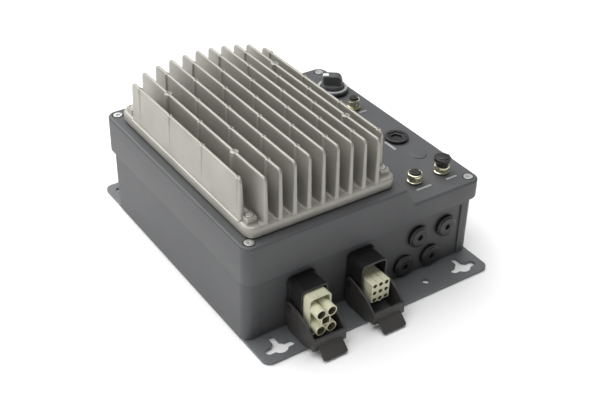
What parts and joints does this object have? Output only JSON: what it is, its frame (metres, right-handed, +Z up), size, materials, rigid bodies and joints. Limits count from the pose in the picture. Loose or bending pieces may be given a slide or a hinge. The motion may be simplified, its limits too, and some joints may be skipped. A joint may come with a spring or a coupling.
{
  "type": "servo drive",
  "caption": "Housed motor drive: slotted mounting plate, base box, stepped cover with finned heat sink, lever-lock connectors, round sockets and a rotary switch.",
  "frame": {"origin": "centre of the mounting plate's underside", "axes": "+X to the right along the connector side, +Y from the connector side to the rear, +Z up out of the plate towards the fins"},
  "size_m": [0.26, 0.3438, 0.17],
  "materials": {
    "grey_casting": "satin powder coat over cast aluminium",
    "sheet_steel": "satin grey paint over steel sheet",
    "bare_casting": "fine blasted die casting",
    "zinc_steel": "bright zinc",
    "black_steel": "blackened",
    "seal_rubber": "matt",
    "black_plastic": "fine grain",
    "insert_plastic": "satin",
    "gold_contact": "plated",
    "socket_metal": "nickel plated",
    "switch_grey": "satin",
    "bezel_grey": "satin",
    "pointer_white": "satin",
    "circuit_board": "solder mask",
    "component_black": "moulded",
    "capacitor_sleeve": "shrink sleeve",
    "choke_wire": "varnished",
    "cable_grey": "vinyl",
    "terminal_green": "moulded",
    "legend_grey": "matt"
  },
  "bodies": {
    "drive": {"mounting_plate": "sheet_steel", "plate_screws": "zinc_steel", "base_box": "grey_casting", "housing_gasket": "seal_rubber", "cover": "grey_casting", "cover_screws": "zinc_steel", "heat_sink_gasket": "seal_rubber", "heat_sink": "bare_casting", "heat_sink_screws": "zinc_steel", "power_connector_housing": "black_plastic", "power_connector_gasket": "seal_rubber", "power_connector_screws": "black_steel", "power_insert": "insert_plastic", "power_contacts": "gold_contact", "power_lever_pins": "black_steel", "signal_connector_housing": "black_plastic", "signal_connector_gasket": "seal_rubber", "signal_connector_screws": "black_steel", "signal_insert": "insert_plastic", "signal_contacts": "gold_contact", "signal_lever_pins": "black_steel", "gland_plug_1": "black_plastic", "gland_plug_2": "black_plastic", "gland_plug_3": "black_plastic", "gland_plug_4": "black_plastic", "plug_seals": "seal_rubber", "top_plug": "black_plastic", "open_socket_shell": "socket_metal", "open_socket_insert": "black_plastic", "capped_socket_shell": "socket_metal", "capped_socket_insert": "black_plastic", "tall_socket_shell": "socket_metal", "tall_socket_insert": "black_plastic", "socket_seals": "seal_rubber", "socket_nuts": "zinc_steel", "switch_base": "black_plastic", "switch_bezel": "bezel_grey", "switch_body": "switch_grey", "power_board": "circuit_board", "power_module": "component_black", "thermal_pad": "seal_rubber", "dc_link_capacitors": "capacitor_sleeve", "emc_choke": "choke_wire", "control_board": "circuit_board", "board_spacers": "zinc_steel", "ribbon_cable": "cable_grey", "connection_board": "circuit_board", "power_terminals": "terminal_green", "signal_terminals": "terminal_green", "board_plug": "insert_plastic", "board_socket": "insert_plastic", "internal_leads": "black_plastic", "earth_stud": "socket_metal", "legend_plates": "legend_grey"},
    "power_lever": {"power_lever": "black_plastic"},
    "signal_lever": {"signal_lever": "black_plastic"},
    "switch_knob": {"switch_knob": "switch_grey", "switch_pointer": "pointer_white", "switch_shaft": "zinc_steel"},
    "socket_cap": {"socket_cap": "black_plastic"}
  },
  "joints": [
    {"name": "power_lever_hinge", "type": "hinge", "parent": "drive", "child": "power_lever", "pos_m": [-0.0695, -0.134, 0.0285], "axis": [-1, 0, 0], "range_deg": [0, 90]},
    {"name": "signal_lever_hinge", "type": "hinge", "parent": "drive", "child": "signal_lever", "pos_m": [-0.005, -0.134, 0.0285], "axis": [-1, 0, 0], "range_deg": [0, 90]},
    {"name": "switch_turn", "type": "hinge", "parent": "drive", "child": "switch_knob", "pos_m": [0.108, 0.0805, 0.1], "axis": [0, 0, -1], "range_deg": [0, 90]},
    {"name": "socket_cap_lift", "type": "slide", "parent": "drive", "child": "socket_cap", "axis": [0, 0, 1], "range_m": [0, 0.02]}
  ]
}
